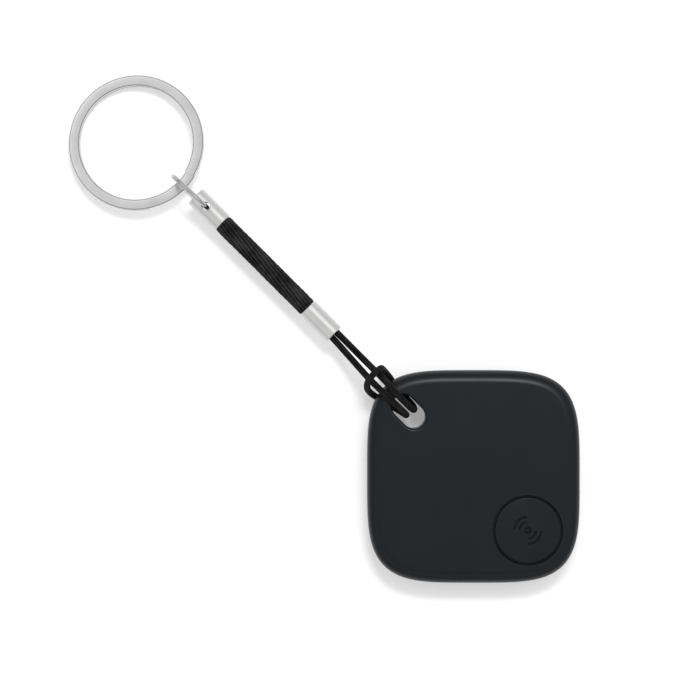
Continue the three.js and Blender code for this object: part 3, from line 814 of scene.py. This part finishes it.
def battery_door():
    rim = 0.2
    profile = [(0, 0), (DOOR_RADIUS - rim, 0)]
    profile += fillet(DOOR_RADIUS - rim, rim, rim, -90, 0, 6)[1:]
    profile += [
        (DOOR_RADIUS, DOOR_DISC), (COLLAR_OUTER, DOOR_DISC), (COLLAR_OUTER, DOOR_TOP),
        (COLLAR_INNER, DOOR_TOP), (COLLAR_INNER, DOOR_DISC), (0, DOOR_DISC),
    ]
    door = lathe("door", profile, DOOR_AT, 192)
    for start in lug_angles():
        lug = ring_sector("lug", DOOR_AT, LUG_INNER, LUG_OUTER, start, start + LUG_SPREAD, LUG_LOW, DOOR_TOP)
        boolean(door, lug, "UNION")
    groove = [(SEAL_INNER, SEAL_FLOOR), (SEAL_OUTER, SEAL_FLOOR), (SEAL_OUTER, 2), (SEAL_INNER, 2)]
    boolean(door, lathe("seal_groove", groove, DOOR_AT, 192))
    boolean(door, coin_cutter())
    # two small arcs beside the coin slot
    for turn in (0, 180):
        start, end = ARC_FROM + turn, ARC_TO + turn
        arc = ring_sector("arc", DOOR_AT, ARC_INNER, ARC_OUTER, start, end, -0.5, ARC_DEPTH)
        boolean(door, arc)
    smooth(door)
    place(door, "battery_door", SHELL, "battery_door")


# ---------- button ----------
def emblem_cutters():
    """A generic wireless mark: a ring with two arcs on either side, along the casing's diagonal."""
    depth, width, dot, spread = 0.22, 0.36, 0.28, 42
    low, high = TOP - depth, TOP + 0.5
    cutters = [ring_sector("dot", BUTTON, dot, dot + width, 0, 359.9, low, high, 48)]
    for radius in (1.5, 2.45):
        inner, outer = radius - width / 2, radius + width / 2
        for middle in (135, 315):
            start, end = middle - spread, middle + spread
            cutters.append(ring_sector("arc", BUTTON, inner, outer, start, end, low, high, 32))
    return cutters


def button():
    rim = 0.1
    under = BUTTON_HIGH[2] - CAP_DEPTH
    low = under - FLANGE_DEPTH
    profile = [
        (0, BUTTON_LOW[2]), (BUTTON_HUB, BUTTON_LOW[2]), (BUTTON_HUB, low), (BUTTON_FLANGE, low),
        (BUTTON_FLANGE, under), (BUTTON_CAP, under), (BUTTON_CAP, TOP - rim),
    ]
    profile += fillet(BUTTON_CAP - rim, TOP - rim, rim, 0, 90, 8)[1:]
    profile += [(0, TOP)]
    cap = lathe("push_button", profile, BUTTON, 192)
    cap.data.materials.append(BUTTON_PLASTIC)
    for cutter in emblem_cutters():
        cutter.data.materials.append(GROOVE)
        boolean(cap, cutter)
    smooth(cap)
    place(cap, "button", BUTTON_PLASTIC, "button_cap")


def return_pad():
    x, y = BUTTON
    pad = lathe("return_pad", PAD_PROFILE, (x, y), 96)
    smooth(pad)
    place(pad, "tag", INNER["silicone"], "button_return_pad")
    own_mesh(pad)


# ---------- metal on the strap ----------
def on_strap(obj):
    """Turns a piece made about the vertical axis, along +Z, to lie along the strap."""
    lay = Matrix.Rotation(pi / 2, 4, "Y")
    axis = Matrix.Translation((0, STRAP_SIDE * MM, STRAP_Z * MM))
    obj.data.transform(STRAP_TURN @ axis @ lay)


def ferrule(name, low, high, low_bore, low_depth, high_bore, high_depth):
    """A turned sleeve between two places along the strap. A high bore of 0 leaves that end solid."""
    r, rim, lip = FERRULE_RADIUS, FERRULE_RIM, BORE_RIM
    floor_z, roof_z = low + low_depth, high - high_depth
    profile = [(0, floor_z), (low_bore, floor_z), (low_bore, low + lip), (low_bore + lip, low)]
    profile += fillet(r - rim, low + rim, rim, -90, 0, 6)
    profile += fillet(r - rim, high - rim, rim, 0, 90, 6)
    if high_bore:
        profile += [(high_bore + lip, high), (high_bore, high - lip), (high_bore, roof_z), (0, roof_z)]
    else:
        profile += [(0, high)]
    sleeve = lathe(name, profile)
    on_strap(sleeve)
    return sleeve


def lower_ferrule():
    cord, rope_end = (CORD_BORE, CORD_BORE_DEPTH), (ROPE_BORE, ROPE_BORE_DEPTH)
    sleeve = ferrule("lower_sleeve", LOWER_FROM, LOWER_TO, *cord, *rope_end)
    smooth(sleeve)
    place(sleeve, "strap_lower", SATIN, "lower_ferrule")


def upper_ferrule():
    sleeve = ferrule("upper_sleeve", UPPER_FROM, UPPER_TO, ROPE_BORE, ROPE_BORE_DEPTH, 0, 0)
    flare, top, past = 0.15, FERRULE_RADIUS, 3
    wide = HOLE_RADIUS + flare
    profile = [
        (0, -past), (wide, -past), (wide, -top), (HOLE_RADIUS, -top + flare),
        (HOLE_RADIUS, top - flare), (wide, top), (wide, past), (0, past),
    ]
    hole = lathe("cross_hole", profile, (0, 0), 64)
    at = strap(HOLE_AT, STRAP_SIDE, STRAP_Z)
    hole.data.transform(Matrix.Translation(at))
    boolean(sleeve, hole)
    smooth(sleeve)
    place(sleeve, "strap_upper", SATIN, "upper_ferrule")


def jump_ring():
    """Round wire bent to a ring, its two cut ends nearly touching inside the ferrule's side."""
    slit = 0.9
    rings = []
    steps, around = 160, 28
    for i in range(steps + 1):
        turn = radians(90 + slit + (360 - 2 * slit) * i / steps)
        out = Vector((cos(turn), 0, sin(turn)))
        ring = []
        for k in range(around):
            a = 2 * pi * k / around
            p = Vector((JUMP_OUT, 0, STRAP_Z)) + (JUMP_RADIUS + JUMP_WIRE * cos(a)) * out
            p += Vector((0, JUMP_WIRE * sin(a), 0))
            ring.append(RINGS_PLACE @ p)
        rings.append(ring)
    ring = loft("jump_link", rings)
    smooth(ring)
    place(ring, "jump_ring", LINK_STEEL, "jump_ring")


CORNER_STEPS = 4
JOG_FROM, JOG_TO = radians(-36), radians(12)  # the step from one turn to the other, either side of the link
TURNS_APART = 0.03  # half the air between the two turns


def wire_section():
    """The flat wire's section, with rounded corners."""
    x, z = KEY_BAND / 2 - KEY_RIM, KEY_TURN / 2 - KEY_RIM
    section = []
    for n, (cx, cz) in enumerate([(x, z), (-x, z), (-x, -z), (x, -z)]):
        section += fillet(cx, cz, KEY_RIM, 90 * n, 90 * n + 90, CORNER_STEPS)
    return section


def ring_place(middle):
    """Hangs the ring's band on the link and tilts it until its far edge rests on the table."""
    tilt = asin((LINK_Z - KEY_TURN - KEY_GAP / 2) / (middle + KEY_OUTER - KEY_EDGE))
    hung = Matrix.Translation(Vector((LINK_OUT, 0, LINK_Z))) @ Matrix.Rotation(tilt, 4, "Y")
    return hung @ Matrix.Translation(Vector((middle, 0, 0)))


def split_ring():
    """Flat wire wound in two turns with one step between them."""
    middle = KEY_OUTER - KEY_BAND / 2
    rise = KEY_TURN / 2 + TURNS_APART
    section = wire_section()
    turn_to_place = ring_place(middle)
    start, end = JOG_TO, JOG_FROM + 4 * pi
    steps = 520
    rings = []
    for i in range(steps + 1):
        turn = start + (end - start) * i / steps
        # above for the first turn, then down the step, then below
        share = min(1.0, max(0.0, (turn - (JOG_FROM + 2 * pi)) / (JOG_TO - JOG_FROM)))
        height = rise * (1 - 2 * share * share * (3 - 2 * share))
        out = Vector((cos(turn + pi), sin(turn + pi), 0))
        ring = []
        for x, z in section:
            p = out * (middle + x) + Vector((0, 0, height + z))
            ring.append(RINGS_PLACE @ (turn_to_place @ p))
        rings.append(ring)
    ring = loft("split_key_ring", rings)
    # the rounded corners of the wire get a darker copy of the steel, painted shade for the dark lines along the
    # ring's rims
    ring.data.materials.append(RING_STEEL)
    ring.data.materials.append(RIM_SHADE_STEEL)
    count = len(section)
    for n, face in enumerate(ring.data.polygons):
        if n < steps * count and n % count % (CORNER_STEPS + 1) != CORNER_STEPS:
            face.material_index = 1
    smooth(ring)
    place(ring, "key_ring", RING_STEEL, "key_ring")


# ---------- inner parts keep their CAD shape and get a finish ----------
def finish_inner_parts():
    slots = {s["node"]: s["material_slot"] for s in frame["record"]["subparts"]}
    for node, obj in frame["nodes"].items():
        material = INNER.get(slots[node])
        if material is None or obj.hide_render:
            continue
        obj.data.materials.clear()
        obj.data.materials.append(material)


# ---------- floor and light ----------
FLOOR_REACH = 1500
# the height of a direction, as the sine of its elevation, and how bright the surroundings are there
WORLD_STOPS = ((0.0, 0.42), (0.25, 0.58), (0.5, 1.05), (0.8, 1.1), (0.93, 0.74), (1.0, 0.66))
SLEEVE_PIECES = ("lower_sleeve", "upper_sleeve")
RING_PIECES = ("jump_link", "split_key_ring")
LIGHT_DISTANCE = 0.7  # metres from the middle of the view
# name, azimuth, degrees off the vertical, size in metres, watts, the pieces it is kept off
LIGHTS = (
    ("key", 80, 27, (0.2, 0.12), 2.5, SLEEVE_PIECES + RING_PIECES),
    ("fill", 50, 25, (0.28, 0.28), 0.55, RING_PIECES),
)


def floor_plane():
    size = FLOOR_REACH
    points = [(-size, -size, 0), (size, -size, 0), (size, size, 0), (-size, size, 0)]
    obj = mesh_object("floor", points, [(0, 1, 2, 3)])
    s = Shader("floor_paper", (0.62, 0.62, 0.62), 0.9, specular=0.0)
    s.main.inputs["Emission Color"].default_value = (1, 1, 1, 1)
    s.main.inputs["Emission Strength"].default_value = 0.3
    obj.data.materials.append(s.material)


def area_light(name, at, aim, size, power, kept_off):
    """A soft light. The pieces it is kept off get none of its light, as behind a studio flag."""
    data = bpy.data.lights.new(name, "AREA")
    data.shape = "RECTANGLE"
    data.size, data.size_y = size
    data.energy = power
    obj = bpy.data.objects.new(name, data)
    obj.location = at
    obj.rotation_euler = (Vector(aim) - Vector(at)).to_track_quat("-Z", "Y").to_euler()
    bpy.context.scene.collection.objects.link(obj)
    lit = bpy.data.collections.new(name + "_lit")
    for piece in kept_off:
        lit.objects.link(bpy.data.objects[piece])
    for link in lit.collection_objects:
        link.light_linking.link_state = "EXCLUDE"
    obj.light_linking.receiver_collection = lit


def surroundings():
    """Dimmest at the horizon and below, brightest from 30 to 53 degrees above it, softer overhead."""
    world = bpy.data.worlds.new("studio")
    bpy.context.scene.world = world
    world.use_nodes = True
    tree = world.node_tree
    background = next(n for n in tree.nodes if n.type == "BACKGROUND")
    place_in = tree.nodes.new("ShaderNodeTexCoord")
    split = tree.nodes.new("ShaderNodeSeparateXYZ")
    ramp = tree.nodes.new("ShaderNodeValToRGB")
    tree.links.new(place_in.outputs["Generated"], split.inputs[0])
    tree.links.new(split.outputs["Z"], ramp.inputs["Fac"])
    tree.links.new(ramp.outputs["Color"], background.inputs["Color"])
    while len(ramp.color_ramp.elements) < len(WORLD_STOPS):
        ramp.color_ramp.elements.new(0.5)
    for element, (at, value) in zip(ramp.color_ramp.elements, WORLD_STOPS):
        element.position = at
        element.color = (value, value, value, 1)
    background.inputs["Strength"].default_value = 1.0


def lights():
    middle = Vector((VIEW_AT[0], VIEW_AT[1], 0)) * MM
    for name, azimuth, lean, size, power, kept_off in LIGHTS:
        area_light(name, light_place(middle, azimuth, lean, LIGHT_DISTANCE), middle, size, power, kept_off)


def light_place(middle, azimuth, off_vertical, distance):
    """A point seen from middle at an azimuth from +X and an angle off the vertical, both in degrees."""
    turn, lean = radians(azimuth), radians(off_vertical)
    return middle + distance * Vector((sin(lean) * cos(turn), sin(lean) * sin(turn), cos(lean)))


for build in (
    front_shell, rear_shell, battery_door, button, return_pad, lower_ferrule, upper_ferrule, jump_ring,
    split_ring, finish_inner_parts, floor_plane, surroundings, lights,
):
    build()

bpy.context.scene.view_settings.view_transform = "Standard"
